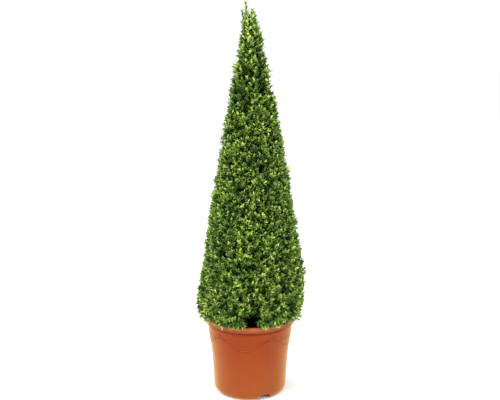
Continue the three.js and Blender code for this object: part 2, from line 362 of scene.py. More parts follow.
sample = swag_relief(np.array([BOW_BEARING]), np.array([float(BOW_HEIGHT)]), WALL_TOP_RADIUS)
print("relief at a bow:", sample.round(2), "mm")

# %% [markdown]
# Three channels run out under the floor to let water drain. Each has sloping sides and
# a sloping inner end, so its roof is the least of three ramps and one level. The floor
# inside the pot rises over each channel, a wall's thickness above its roof.

# %% Turn the pot
CHANNEL_BEARINGS = (23.5, 143.5, 263.5)
CHANNEL_HALF_WIDTH = 29.5
CHANNEL_ROOF_HALF_WIDTH = 16.5
CHANNEL_HEIGHT = 19
CHANNEL_END = 78
CHANNEL_SIDE_SLOPE = CHANNEL_HEIGHT / (CHANNEL_HALF_WIDTH - CHANNEL_ROOF_HALF_WIDTH)
CHANNEL_END_SLOPE = 3
FOOT_ROUND_TOP = 20  # the rounding of the foot ends below this height
POT_COLUMNS = 400


def channel_roof(x, y, grow):
    """Height of the channels' roof over the ground, in mm, with the channels grown."""
    roof = np.zeros_like(x)
    for bearing in np.radians(CHANNEL_BEARINGS):
        out = x * np.sin(bearing) - y * np.cos(bearing)
        across = np.abs(x * np.cos(bearing) + y * np.sin(bearing))
        sides = (CHANNEL_HALF_WIDTH + grow - across) * CHANNEL_SIDE_SLOPE
        end = (out - CHANNEL_END + grow) * CHANNEL_END_SLOPE
        roof = np.maximum(roof, np.clip(np.minimum(sides, end), 0, CHANNEL_HEIGHT + grow))
    return roof


def turned_pot():
    """The section turned about +Z, lifted over the channels, with the swags added."""
    outer_end = int(np.argmax(section[:, 1]))
    radii, heights = section[:outer_end].T
    wall = heights > FOOT_ROUND_TOP
    fine = np.arange(SWAG_LOW, SWAG_HIGH, SWAG_SPACING)
    fine = np.stack([np.interp(fine, heights[wall], radii[wall]), fine], -1)
    in_band = wall & (heights > SWAG_LOW) & (heights < SWAG_HIGH)
    kept = section[:outer_end][~in_band]
    low_part, high_part = kept[kept[:, 1] <= SWAG_LOW], kept[kept[:, 1] >= SWAG_HIGH]
    outside = np.concatenate([low_part, fine, high_part])
    line = np.concatenate([outside, section[outer_end:]])[1:-1]
    is_outside = np.arange(len(line)) < len(outside) - 1
    bearing = round_angles(POT_COLUMNS)
    radius, height = line[:, :1] + 0 * bearing, line[:, 1:] + 0 * bearing
    degrees = np.degrees(bearing) + 0 * radius
    relief = swag_relief(degrees, height, radius)
    radius = radius + np.where(is_outside[:, None] & (height > SWAG_LOW), relief, 0)
    x, y = radius * np.sin(bearing), -radius * np.cos(bearing)
    under = np.maximum(height, channel_roof(x, y, 0))
    floor = np.maximum(height, channel_roof(x, y, WALL))
    height = np.where(is_outside[:, None], under, floor)
    rings = np.stack([x, y, height], -1)
    return capped_rings((0, 0, 0), rings, (0, 0, WALL))


pot_points, pot_faces = turned_pot()
print("pot width:", round(float(np.ptp(pot_points[:, 0])), 1), "mm")

# %% [markdown]
# Moulded polypropylene is dyed right through, so its colour is nearly even: a warm
# terracotta with faint cloudy flow marks. The mould was finely spark-eroded, which
# gives a satin surface with a very fine grain. The grain is a fifth of a millimetre on
# the real pot and is drawn at a millimetre, the least that can show from this far off.

# %% The dye
def moulded_dye(tree, place):
    """Two shades of terracotta, mixed by a noise that is drawn out along the wall."""
    squash = add_node(tree, "Mapping", {"Vector": place, "Scale": (1, 1, 0.45)})
    noise = {"Vector": squash, "Scale": 1 / (60 * MM), "Detail": 3.0, "Roughness": 0.5}
    cloud = add_node(tree, "TexNoise", noise)
    shades = [(0.3, "#7a2b07"), (0.7, "#82300a")]
    return add_node(tree, "ValToRGB", {"Fac": cloud}, shades)


print("the dye in linear light:", np.round(linear("#7a2b07")[:3], 3))

# %% [markdown]
# Light and shade are painted over the dye too. The upper part of the collar gets a
# painted highlight, broken up by noise; the wall in the groove under the collar gets a
# painted shadow; and painted bounce light from the floor makes the lower wall paler.
# Each is laid over the dye by height, and the floor light comes last, over everything.

# %% Painted light and shade on the pot
# The painted shadow under the collar's overhang spans these heights (mm).
COLLAR_SHADE_FROM = COLLAR_HEIGHT - 19
COLLAR_SHADE_TO = COLLAR_HEIGHT + 0.5
# Shares of the way from the one to the other, and what the dye is multiplied by.
PAINTED_SHADE_UNDER_COLLAR = [
    (0.0, "#ffffff"),
    (0.36, "#f4f2f0"),
    (0.53, "#e8e4e0"),
    (0.7, "#d2cbc4"),
    (0.94, "#d2cbc4"),
    (0.99, "#ffffff"),
]
# The painted highlight on the collar spans these heights (mm).
LIP_HIGHLIGHT_FROM, LIP_HIGHLIGHT_TO = POT_HEIGHT - 18, POT_HEIGHT - 1
# The colours of the painted highlight on the collar and of the painted floor light at the foot.
LIP_HIGHLIGHT_COLOUR, FLOOR_LIGHT_COLOUR = "#c98c63", "#c9854a"
# The painted bounce light from the floor fades out at this height (mm).
FLOOR_LIGHT_HEIGHT = 190


def painted_light_and_shade(tree, place, dye):
    """The dye, with a painted shadow under the collar, a painted highlight on it, and painted
    floor light at the foot.
    """
    height = add_node(tree, "SeparateXYZ", {"Vector": place}).outputs["Z"]
    # A painted shadow darkens the wall under the collar's overhang.
    span = {"Value": height, "From Min": COLLAR_SHADE_FROM * MM, "From Max": COLLAR_SHADE_TO * MM}
    below = add_node(tree, "MapRange", span)
    collar_shade = add_node(tree, "ValToRGB", {"Fac": below}, PAINTED_SHADE_UNDER_COLLAR)
    both = {"Fac": 1.0, "Color1": dye, "Color2": collar_shade}
    shaded_dye = add_node(tree, "MixRGB", both, blend_type="MULTIPLY")
    # A painted highlight, broken up by noise, lightens the upper part of the collar.
    span = {"Value": height, "From Min": LIP_HIGHLIGHT_FROM * MM, "From Max": LIP_HIGHLIGHT_TO * MM}
    on_lip = add_node(tree, "MapRange", span)
    highlight_noise = add_node(tree, "TexNoise", {"Vector": place, "Scale": 1 / (40 * MM), "Detail": 1.0})
    span = {"Value": highlight_noise, "From Min": 0.3, "From Max": 0.6, "To Max": 0.42}
    highlight_amount = add_node(tree, "MapRange", span)
    highlight_mask = add_node(tree, "Math", {0: on_lip, 1: highlight_amount}, operation="MULTIPLY")
    both = {"Fac": highlight_mask, "Color1": shaded_dye, "Color2": linear(LIP_HIGHLIGHT_COLOUR)}
    pale = add_node(tree, "MixRGB", both)
    # Painted bounce light from the floor makes the wall paler and yellower towards the foot.
    span = {"Value": height, "From Max": FLOOR_LIGHT_HEIGHT * MM, "To Min": 0.13, "To Max": 0.0}
    floor_light_share = add_node(tree, "MapRange", span)
    both = {"Fac": floor_light_share, "Color1": pale, "Color2": linear(FLOOR_LIGHT_COLOUR)}
    return add_node(tree, "MixRGB", both)


# Prints where the painted highlight on the collar starts and how high the painted floor light
# reaches.
print("rubbed from", round(LIP_HIGHLIGHT_FROM), "mm up, dusty below", FLOOR_LIGHT_HEIGHT, "mm")

# %% [markdown]
# The surface is a satin one: handling has scuffed it unevenly, and a pale bloom shows
# where the wall turns away, as it does on all unvarnished plastic. The Principled
# shader's sheen gives that bloom.

# %% Satin moulded polypropylene
def satin_polypropylene():
    """Terracotta plastic: dye with painted light and shade, a scuffed roughness, grain, and the
    bloom.
    """
    material, tree, shader = new_material(
        "satin_moulded_polypropylene",
        IOR=1.49,
        Specular_IOR_Level=0.1,
        Sheen_Weight=0.62,
        Sheen_Roughness=0.42,
        Sheen_Tint=linear("#ffe98c"),
    )
    place = add_node(tree, "TexCoord").outputs["Object"]
    colour = painted_light_and_shade(tree, place, moulded_dye(tree, place))
    scuff = add_node(tree, "TexNoise", {"Vector": place, "Scale": 1 / (9 * MM), "Detail": 4.0})
    span = {"Value": scuff, "From Min": 0.3, "From Max": 0.7, "To Min": 0.36, "To Max": 0.46}
    rough = add_node(tree, "MapRange", span)
    grain = add_node(tree, "TexNoise", {"Vector": place, "Scale": 1 / (1 * MM), "Detail": 2.0})
    bump = add_node(tree, "Bump", {"Height": grain, "Strength": 0.12, "Distance": 0.3 * MM})
    set_inputs(tree, shader, {"Base Color": colour, "Roughness": rough, "Normal": bump})
    return material


mesh_piece(
    "grower_pot", pot_points * MM, pot_faces, satin_polypropylene(), ["pot"]
)

# %% [markdown]
# ## The compost
# The compost is composted bark and peat: a dark crumbly fill that shows only as a
# shadowed patch under the skirt. A disc with noise would do for its top; here the whole
# root ball is one turned skin, so that the piece is closed, with crumbs raised on top
# by two sizes of soft noise.

# %% Shape the compost
compost_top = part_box("compost")[1].z / MM
COMPOST_EDGE = 148.0
COMPOST_FOOT = 20.5
COMPOST_SIDE = [(118, COMPOST_FOOT), (121, 60), (132, 150), (COMPOST_EDGE - 1, compost_top - 12)]
EDGE_FALL = 6  # the top falls this far to the wall
TOP_RINGS, COMPOST_COLUMNS = 70, 220


def compost_skin():
    """A closed plug: straight sides, and a top that falls to the wall with crumbs on it."""
    side = np.array(COMPOST_SIDE)
    inwards = 1 - np.linspace(0, 0.985, TOP_RINGS)
    radii = np.concatenate([side[:, 0], COMPOST_EDGE * inwards])
    heights = np.concatenate([side[:, 1], compost_top - EDGE_FALL * inwards**2])
    angle = round_angles(COMPOST_COLUMNS)
    x, y = radii[:, None] * np.cos(angle), radii[:, None] * np.sin(angle)
    flat = np.stack([x, y, 0 * x], -1)
    crumbs = 1.6 * ripple(flat, 14, 3) + 1.1 * np.abs(ripple(flat, 5, 4))
    rise = np.where(np.arange(len(radii))[:, None] >= len(side), crumbs - 1.0, 0)
    rings = np.stack([x, y, heights[:, None] + rise], -1)
    return capped_rings((0, 0, COMPOST_FOOT), rings, (0, 0, compost_top))


def bark_compost():
    """Composted bark: near-black brown, mottled with lighter fibre, fully matte."""
    material, tree, shader = new_material(
        "composted_bark", Roughness=0.95, Specular_IOR_Level=0.2
    )
    place = add_node(tree, "TexCoord").outputs["Object"]
    mottle = add_node(tree, "TexNoise", {"Vector": place, "Scale": 1 / (5 * MM), "Detail": 5.0})
    browns = [(0.35, "#1d1510"), (0.55, "#33261b"), (0.75, "#5a4632")]
    brown = add_node(tree, "ValToRGB", {"Fac": mottle}, browns)
    set_inputs(tree, shader, {"Base Color": brown})
    return material


compost_points, compost_faces = compost_skin()
mesh_piece(
    "compost_fill", compost_points * MM, compost_faces, bark_compost(), ["compost"]
)

# %% [markdown]
# ## The crown's skin
# The masses of the frame say how far the leaves reach in each direction. Their formula
# is not known here, and need not be: rays cast inwards from a ring round the crown
# measure its radius at every height and angle. The table then answers for any point.

# %% Gather the masses' triangles
MASSES = ["foliage_base", "foliage_middle", "foliage_top"]
SPIRES = ["leader_spire", "right_spire", "left_spire"]


def joined_triangles(names):
    """The vertices and triangles of several frame nodes as two arrays."""
    all_points, all_faces, offset = [], [], 0
    for name in names:
        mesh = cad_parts[name].data
        mesh.calc_loop_triangles()
        points = np.empty(len(mesh.vertices) * 3, np.float32)
        faces = np.empty(len(mesh.loop_triangles) * 3, np.int32)
        mesh.vertices.foreach_get("co", points)
        mesh.loop_triangles.foreach_get("vertices", faces)
        all_points.append(points.reshape(-1, 3))
        all_faces.append(faces.reshape(-1, 3) + offset)
        offset += len(mesh.vertices)
    return np.concatenate(all_points), np.concatenate(all_faces)


crown_points, crown_triangles = joined_triangles(MASSES)
print("the masses have", len(crown_triangles), "triangles")

# %% Measure the crown with rays
RAY_HEIGHTS = 84
RAY_ANGLES = 96
HEM = 0.028  # metres: the skirt's ragged lower edge, left out of the measuring
tree_of_faces = BVHTree.FromPolygons(crown_points.tolist(), crown_triangles.tolist())
CROWN_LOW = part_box("foliage_base")[0].z + HEM
CROWN_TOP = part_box("foliage_top")[1].z
ray_heights = np.linspace(CROWN_LOW, CROWN_TOP - 0.004, RAY_HEIGHTS)
ray_angles = np.linspace(-np.pi, np.pi, RAY_ANGLES, endpoint=False)


def measured_radius(height, angle):
    """How far the crown reaches from the axis, found by a ray that runs inwards."""
    way = Vector((math.cos(angle), math.sin(angle), 0))
    hit = tree_of_faces.ray_cast(way + Vector((0, 0, height)), -way)[0]
    return hit.xy.length if hit else 0.0


skin_table = np.array([[measured_radius(z, a) for a in ray_angles] for z in ray_heights])


def skin_radius(height, angle):
    """The measured radius at any height and angle, by interpolating the table."""
    row = (height - ray_heights[0]) / (ray_heights[1] - ray_heights[0])
    row = np.clip(row, 0, RAY_HEIGHTS - 1.001)
    column = ((angle + np.pi) / (2 * np.pi) * RAY_ANGLES) % RAY_ANGLES
    r, c = row.astype(int), column.astype(int)
    right, up = (c + 1) % RAY_ANGLES, r + 1
    fr, fc = row - r, column - c
    low = skin_table[r, c] * (1 - fc) + skin_table[r, right] * fc
    high = skin_table[up, c] * (1 - fc) + skin_table[up, right] * fc
    return low * (1 - fr) + high * fr


print("crown radius: foot", skin_table[2].mean().round(3), "top", skin_table[-1].mean().round(3))

# %% [markdown]
# ## Where the sprays end
# Clipping makes a boxwood break into thousands of short shoots, all ending at the
# shears' surface. Spray tips are therefore laid out first, on the skin: heights share
# out the area, and angles step round by the golden angle, which never lines up.

# %% Lay out the spray tips
rng = np.random.default_rng(41)
SPRAYS = 7600
GOLDEN_ANGLE = math.pi * (3 - math.sqrt(5))
LOOSE_FROM, LOOSE_TO = 0.95, 1.08  # metres: the clipped face gives way to the loose top
RAGGED_HEIGHT = 0.035  # metres at the skirt's foot where the tips are uneven
HEM_DROP = 0.014  # metres that they may reach below the measured skin


def looseness(height):
    """0 on the clipped face, 1 on the loose top."""
    return smooth_step(height, LOOSE_FROM, LOOSE_TO)


def spread_heights(count):
    """Heights that share out the skin's area evenly, thinner where leaves are larger."""
    z = np.linspace(CROWN_LOW, CROWN_TOP, 400)
    weight = skin_radius(z, np.full_like(z, np.pi)) + 0.012
    weight = weight * (1 - 0.56 * looseness(z))
    total = np.cumsum(weight)
    shares = (np.arange(count) + 0.5) / count
    return np.interp(shares, total / total[-1], z)


def cylinder_to_xyz(radius, angle, height):
    """Points from a radius, an angle and a height."""
    return np.stack([radius * np.cos(angle), radius * np.sin(angle), height], -1)


tip_angle = (np.arange(SPRAYS) * GOLDEN_ANGLE + np.pi) % (2 * np.pi) - np.pi
tip_angle += rng.normal(0, 0.02, SPRAYS)
tip_height = spread_heights(SPRAYS) + rng.normal(0, 0.004, SPRAYS)
ragged = 1 - smooth_step(tip_height, CROWN_LOW, CROWN_LOW + RAGGED_HEIGHT)
tip_height -= ragged * rng.uniform(-0.006, 0.012, SPRAYS)
tip_height = np.clip(tip_height, CROWN_LOW - HEM_DROP, CROWN_TOP - 0.002)
tip_loose = looseness(tip_height)
skin_here = skin_radius(tip_height, tip_angle)
print(SPRAYS, "sprays from", tip_height.min().round(3), "to", tip_height.max().round(3), "m")

# %% [markdown]
# Some sprays end deeper, so that the crown has an inside. Soft noise pulls patches in
# and out, a little on the clipped face and more on the shaggy top, and finer noise sinks
# small hollows into it. Five bare patches are placed one by one, the largest where the
# skirt parts over the rim at the front. A few stray sprays have grown since the last cut.

# %% Sink the sprays
# Depths (mm) of the sprays at the face, behind it and deep inside, and their shares.
FACE_DEPTH, MIDDLE_DEPTH, INNER_DEPTH = (0, 6), (8, 26), (26, 60)
FACE_SHARE, INNER_SHARE, STRAY_SHARE = 0.55, 0.16, 0.05
TIP_CLEARANCE = 6.5  # a leaf reaches this far (mm) past the end of its shoot
PATCH_DEPTH, LOOSE_PATCH_DEPTH, HOLLOW_DEPTH, SHAGGY_DEPTH = 1.5, 4, 14, 26  # mm
DEEPEST_SHARE = 0.62  # of the skin's radius, which no spray is sunk beyond
# Bare patches: bearing from the front towards +X (degrees) and height (mm), half width
# (degrees) and half height (mm), and how deep the sprays lie there (mm).
BARE_PATCHES = [
    (2, 298, 14, 22, 34),
    (51, 335, 9, 28, 20),
    (20, 1206, 30, 18, 20),
    (-50, 1244, 30, 8, 12),
    (8, 1130, 22, 12, 12),
]
on_skin = cylinder_to_xyz(skin_here, tip_angle, tip_height)
patch = ripple(on_skin, 0.075, 11)
hollow = smooth_step(-ripple(on_skin, 0.034, 12, 2), 0.28, 0.7)
shaggy = smooth_step(-ripple(on_skin, 0.05, 13, 2), 0.15, 0.6) * tip_loose
layer = rng.random(SPRAYS)
depth = rng.uniform(*FACE_DEPTH, SPRAYS)
depth = np.where(layer < FACE_SHARE, depth, rng.uniform(*MIDDLE_DEPTH, SPRAYS))
depth = np.where(layer > 1 - INNER_SHARE, rng.uniform(*INNER_DEPTH, SPRAYS), depth)
stray = rng.random(SPRAYS) < STRAY_SHARE + STRAY_SHARE * tip_loose
depth = depth - patch * (PATCH_DEPTH + LOOSE_PATCH_DEPTH * tip_loose)
depth = depth + hollow * HOLLOW_DEPTH + shaggy * SHAGGY_DEPTH
depth = np.where(stray, rng.uniform(-7, 0, SPRAYS), depth) + TIP_CLEARANCE + 3.0 * tip_loose
tip_bearing = np.degrees(tip_angle + np.pi / 2)
for bearing, height, wide, tall, sunk in BARE_PATCHES:
    beside = (tip_bearing - bearing) / wide
    above = (tip_height / MM - height) / tall
    depth += sunk * np.exp(-(beside**2) - above**2)
depth = np.minimum(depth * MM, DEEPEST_SHARE * skin_here)
tips = cylinder_to_xyz(skin_here - depth, tip_angle, tip_height)
print("mean depth", (depth.mean() / MM).round(1), "mm")

# %% [markdown]
# ## Which way the sprays point
# A shoot grows outwards to the light and upwards. On the clipped face it points more
# out than up, on the loose top more up than out, and along the skirt's lower edge it
# droops over the rim. A seeded wobble keeps the sprays from standing in ranks.

# %% Aim the sprays
def aim(angle, height, loose, wobble):
    """Unit directions: outwards plus upwards in a share that depends on the height."""
    outward = cylinder_to_xyz(1.0, angle, 0 * angle)
    droop = 1 - smooth_step(height, CROWN_LOW + 0.005, CROWN_LOW + 0.05)
    out_share = 0.78 - 0.42 * loose + 0.1 * droop
    up_share = 0.55 + 0.5 * loose - 0.95 * droop
    way = outward * out_share[:, None] + np.array([0, 0, 1.0]) * up_share[:, None]
    return unit(way + wobble)


spray_way = aim(tip_angle, tip_height, tip_loose, rng.normal(0, 0.27, (SPRAYS, 3)))
LEAF_PAIRS = 6
PAIR_SPACING, LOOSE_SPACING = 4.8, 3.0  # mm, and what the loose top adds
pair_spacing = (PAIR_SPACING + LOOSE_SPACING * tip_loose) * rng.uniform(0.85, 1.2, SPRAYS) * MM
spray_length = pair_spacing * LEAF_PAIRS
print("spray length", (spray_length.mean() / MM).round(1), "mm")

# %% [markdown]
# Along the skirt's lower edge some sprays have sagged over the rim. Those beside the
# hollow at the front give it its outline, so they are placed one by one; the rest hang
# at seeded places round the sides and the back.

# %% Sprays that hang over the rim
# bearing from the front towards +X (degrees), reach from the axis and height (mm)
FRONT_HANGING = [
    (-50, 172, 303), (-42, 172, 301), (-36, 172, 294), (-32, 173, 284), (-29, 172, 288),
    (-24, 172, 290), (-19, 172, 291), (-13, 172, 289), (-9, 172, 290), (-6, 170, 295),
    (13, 172, 292), (17, 173, 288), (20, 173, 290), (26, 172, 289), (33, 173, 288),
    (40, 172, 295), (47, 173, 291), (60, 172, 288), (74, 173, 274),
]
SEEDED_HANGING = 26
SEEDED_BEARINGS, SEEDED_REACH, SEEDED_HEIGHT = (82, 302), (170, 175), (276, 294)
HANGING_LENGTH, HANGING_DEPTH = 30, 6  # mm


def hanging_sprays(draw):
    """Tips from bearing, reach and height, and ways that run outwards and down."""
    seeded = np.stack([
        np.linspace(*SEEDED_BEARINGS, SEEDED_HANGING) + draw.uniform(-5, 5, SEEDED_HANGING),
        draw.uniform(*SEEDED_REACH, SEEDED_HANGING),
        draw.uniform(*SEEDED_HEIGHT, SEEDED_HANGING),
    ], -1)
    bearing, reach, height = np.concatenate([np.array(FRONT_HANGING, float), seeded]).T
    angle = np.radians(bearing - 90)
    outward = cylinder_to_xyz(1.0, angle, 0 * angle)
    way = unit(outward * 0.55 + np.array([0, 0, -0.7]) + draw.normal(0, 0.25, outward.shape))
    return cylinder_to_xyz(reach * MM, angle, height * MM), way


hanging_tips, hanging_way = hanging_sprays(rng)
HANGING = len(hanging_tips)
SPRAYS += HANGING
tips = np.concatenate([tips, hanging_tips])
spray_way = np.concatenate([spray_way, hanging_way])
spray_length = np.concatenate([spray_length, np.full(HANGING, HANGING_LENGTH * MM)])
spray_base = tips - spray_way * spray_length[:, None]
tip_height = np.concatenate([tip_height, hanging_tips[:, 2]])
tip_loose = np.concatenate([tip_loose, np.zeros(HANGING)])
depth = np.concatenate([depth, np.full(HANGING, HANGING_DEPTH * MM)])
print(HANGING, "sprays hang over the rim")

# %% [markdown]
# ## The wood inside
# The frame gives the foot of the stem. Above it the plant forks into a few boughs that
# run up inside the crown, boughs carry branches, and branches carry twigs that hold the
# sprays. One rule grows each order from the one before it: every tip takes the nearest
# older wood that lies below it, and joins it by a curve that leaves along the parent
# and arrives along its own direction.

# %% The branching rule
UP = np.array([0.0, 0.0, 1.0])


def curve(start, control, end, steps):
    """Quadratic curves: (1-t)^2 start + 2t(1-t) control + t^2 end, for many at once."""
    t = np.linspace(0, 1, steps)[None, :, None]
    start, control, end = start[:, None], control[:, None], end[:, None]
    return (1 - t) ** 2 * start + 2 * t * (1 - t) * control + t * t * end


def nearest_parent(ends, wood, climb):
    """For each end the index of the nearest wood point, dearer if it isn't lower."""
    ends, wood = ends.astype(np.float32), wood.astype(np.float32)
    square = (ends**2).sum(1)[:, None] + (wood**2).sum(1)[None] - 2 * ends @ wood.T
    distance = np.sqrt(np.maximum(square, 0))
    short = np.maximum(climb * distance - (ends[:, 2:] - wood[:, 2][None]), 0)
    return np.argmin(distance + 2.0 * short, axis=1)


def grow(parent_paths, ends, arrive, steps, climb):
    """Curves from the parents to the ends, as (count, steps, 3)."""
    heading = unit(np.gradient(parent_paths, axis=1)).reshape(-1, 3)
    wood = parent_paths.reshape(-1, 3)
    chosen = nearest_parent(ends, wood, climb)
    start = wood[chosen]
    span = np.linalg.norm(ends - start, axis=1, keepdims=True)
    leave = start + heading[chosen] * span * 0.35
    come = ends - arrive * span * 0.35
    return curve(start, (leave + come) / 2, ends, steps)


print("weights halfway along a curve:", curve(*np.eye(3)[:, None], 3)[0, 1])

# %% [markdown]
# The orders of wood are then grown one after another. One bough runs up to the tip. The
# ends of the others, and of the branches and twigs, lie at set shares of the crown's
# radius, and the twigs' stalks end in the spray tips that are already there.

# %% Grow the wood
stem_low, stem_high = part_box("stem")
fork = np.array([0.007, 0.0003, stem_high.z - 0.012])
BOUGHS, BRANCHES, TWIGS = 9, 150, 1100
BOUGH_REACH, BRANCH_REACH, TWIG_REACH = 0.5, 0.55, 0.76  # of the skin's radius
LOWEST_BOUGH, BOUGH_RANGE = 0.12, 0.62  # metres over the stem, and above that
BOUGH_WAVE = 0.004  # metres that a bough wavers by
INNER_LOOSENESS = 0.3  # inner wood rises more steeply than the sprays on the face


def bough_paths():
    """The leader to the tip, and boughs that rise round it and end under the skin."""
    share = (np.arange(BOUGHS - 1) + 0.5) / (BOUGHS - 1)
    height = stem_high.z + LOWEST_BOUGH + share * BOUGH_RANGE
    angle = np.arange(BOUGHS - 1) * GOLDEN_ANGLE + 0.6
    reach = BOUGH_REACH * skin_radius(height, np.zeros_like(height))
    side_ends = cylinder_to_xyz(reach, angle, height)
    leader_end = np.array([[0.0, 0.0, CROWN_TOP - 0.03]])
    ends = np.concatenate([leader_end, side_ends])
    start = np.repeat(fork[None], BOUGHS, 0)
    span = np.linalg.norm(ends - start, axis=1, keepdims=True)
    outward = unit(ends * np.array([1, 1, 0]) + 1e-6)
    control = start + (UP * 0.45 + outward * 0.1) * span
    paths = curve(start, control, ends, 18)
    return paths + BOUGH_WAVE * np.sin(paths[..., 2:] * np.array([31, 43, 0]) + 1)


def inner_ends(count, share, seed):
    """Ends at a share of the skin's radius, spread like the sprays, and their ways."""
    draw = np.random.default_rng(seed)
    angle = (np.arange(count) * GOLDEN_ANGLE + seed) % (2 * np.pi) - np.pi
    height = np.clip(spread_heights(count) - 0.02, CROWN_LOW + 0.012, CROWN_TOP)
    radius = skin_radius(height, angle) * (share + draw.normal(0, 0.04, count))
    way = aim(angle, height, np.full(count, INNER_LOOSENESS), 0)
    return cylinder_to_xyz(radius, angle, height), way


boughs = bough_paths()
branches = grow(boughs[:, 1:], *inner_ends(BRANCHES, BRANCH_REACH, 5), 8, 0.35)
twigs = grow(branches[:, 2:], *inner_ends(TWIGS, TWIG_REACH, 6), 6, 0.2)
stalks = grow(twigs[:, 3:], tips, spray_way, 5, 0.1)
print("wood:", len(boughs), "boughs,", len(branches), "branches,", len(twigs), "twigs")

# %% [markdown]
# The limbs are tubes: a ring of points carried along each curve, thinning as it goes.
# All limbs of one order have the same number of steps and sides, so that one array
# holds them, and the ends are closed by a flat polygon.

# %% Skin the limbs
def tubes(paths, start_radius, end_radius, sides, knobbly=0.0):
    """Rings round many curves at once: centre + r (cos a * side + sin a * other)."""
    count, steps = paths.shape[:2]
    ahead = unit(np.gradient(paths, axis=1))
    side = unit(np.cross(ahead, np.array([0.37, 0.86, 0.21])))
    other = np.cross(ahead, side)
    t = np.linspace(0, 1, steps)[None, :, None]
    radius = start_radius + (end_radius - start_radius) * t**0.7
    around = round_angles(sides)[None, None, :]
    if knobbly:
        rough = ripple(paths, 0.03, 21)[..., None] + 0.5 * np.sin(3 * around + 40 * t)
        radius = radius * (1 + knobbly * rough)
    turn = np.cos(around)[..., None] * side[:, :, None]
    turn = turn + np.sin(around)[..., None] * other[:, :, None]
    points = paths[:, :, None] + radius[..., None] * turn
    offset = (np.arange(count) * steps * sides)[:, None, None]
    walls = (ring_faces(steps, sides)[None] + offset).reshape(-1, 4)
    ring = np.arange(sides)
    first = (ring[::-1][None] + offset[:, 0]).reshape(-1, sides)
    last = ((steps - 1) * sides + ring[None] + offset[:, 0]).reshape(-1, sides)
    return points.reshape(-1, 3), [walls, first, last]


print("a tube's corners per ring run from 3 on a stalk to 12 on a bough")

# %% [markdown]
# Boxwood has thin, pale, corky bark, ridged along the limb, and its last year's shoots
# are still green. All the wood is in the shade of the leaves, so one simple bark will do.

# %% Boxwood bark
def boxwood_bark():
    """Young boxwood bark: pale khaki-grey, ridged along the limb, matte."""
    material, tree, shader = new_material(
        "boxwood_bark", Roughness=0.85, Specular_IOR_Level=0.3
    )
    place = add_node(tree, "TexCoord").outputs["Object"]
    stretch = add_node(tree, "Mapping", {"Vector": place, "Scale": (1, 1, 0.25)})
    ridges = add_node(tree, "TexNoise", {"Vector": stretch, "Scale": 1 / (3 * MM), "Detail": 4.0})
    browns = [(0.35, "#4a3d2c"), (0.5, "#75664c"), (0.7, "#998a6c")]
    brown = add_node(tree, "ValToRGB", {"Fac": ridges}, browns)
    bump = add_node(tree, "Bump", {"Height": ridges, "Strength": 0.5, "Distance": 1 * MM})
    set_inputs(tree, shader, {"Base Color": brown, "Normal": bump})
    return material


bark = boxwood_bark()
green_wood = new_material(
    "green_boxwood_twig", Base_Color=linear("#6b6f3a"), Roughness=0.6, Specular_IOR_Level=0.4
)[0]
# Piece, paths, radius at foot and tip (mm), sides, how knobbly, and material.
LIMBS = [
    ("boughs", boughs, 7.5, 2.2, 12, 0.06, bark),
    ("branches", branches, 2.6, 1.3, 6, 0.0, bark),
    ("twigs", twigs, 1.3, 0.8, 4, 0.0, bark),
    ("spray_stalks", stalks, 0.75, 0.45, 3, 0.0, green_wood),
]
for name, paths, at_foot, at_tip, sides, knobbly, wood in LIMBS:
    limb_points, limb_faces = tubes(paths, at_foot * MM, at_tip * MM, sides, knobbly)
    mesh_piece(name, limb_points, limb_faces, wood)

# %% [markdown]
# The foot of the stem is the one limb that the frame holds as a solid. It is remade
# with its bark: the same taper, lean and root flare, and on them long ridges that
# twist a little, which is how the bark of an old boxwood splits.

# %% The stem's foot
STEM_RADIUS, STEM_TAPER, ROOT_FLARE, STEM_LEAN = 14, 2.5, 10, 7  # mm
STEM_RINGS, STEM_COLUMNS = 60, 96


def stem_skin():
    """Rings up the stem: taper, plus a flare that dies away, plus ridges and furrows."""
    t = np.linspace(0, 1, STEM_RINGS)[:, None]
    angle = round_angles(STEM_COLUMNS)[None]
    flare = np.exp(-t * 7)
    girth = STEM_RADIUS - STEM_TAPER * t + ROOT_FLARE * flare
    shape = 0.15 * flare * np.cos(5 * angle + 0.7) + 0.03 * np.cos(2 * angle + 4 * t)
    furrow = np.abs(np.sin(8 * angle + 5 * t + 2 * np.sin(9 * t + 3 * angle)))
    radius = girth * (1 + shape) - 1.3 * (1 - furrow) ** 2
    length = (stem_high.z - stem_low.z) / MM
    x = STEM_LEAN * t**1.5 + radius * np.cos(angle)
    y = 2 * np.sin(3 * t) + radius * np.sin(angle)
    rings = np.stack([x, y, stem_low.z / MM + length * t + 0 * x], -1)
    foot, top = (0, 0, stem_low.z / MM), (STEM_LEAN, 0.3, stem_high.z / MM)
    return capped_rings(foot, rings, top)


stem_points, stem_faces = stem_skin()
mesh_piece("stem_foot", stem_points * MM, stem_faces, bark, ["stem"])

# %% [markdown]
# ## The leaves
# A boxwood leaf is a small blunt oval, leathery and glossy, folded a little along its
# midrib. Nine points are enough for it here: base and tip, three points on each margin
# and one on the midrib, with the margins raised and the tip bent back. All the leaves
# of a colour are one array of points, made by carrying this template to each place.

# %% Leaf shape
# (across, along, up) of each point, in leaf widths, lengths and lengths.
LEAF = np.array([
    (0.0, 0.0, 0.0),
    (0.40, 0.20, 0.07),
    (0.50, 0.50, 0.08),
    (0.35, 0.82, 0.02),
    (0.0, 1.0, -0.07),
    (-0.35, 0.82, 0.02),
    (-0.50, 0.50, 0.08),
    (-0.40, 0.20, 0.07),
    (0.0, 0.5, -0.01),
])
LEAF_FACES = np.array([(i, (i + 1) % 8, 8) for i in range(8)])


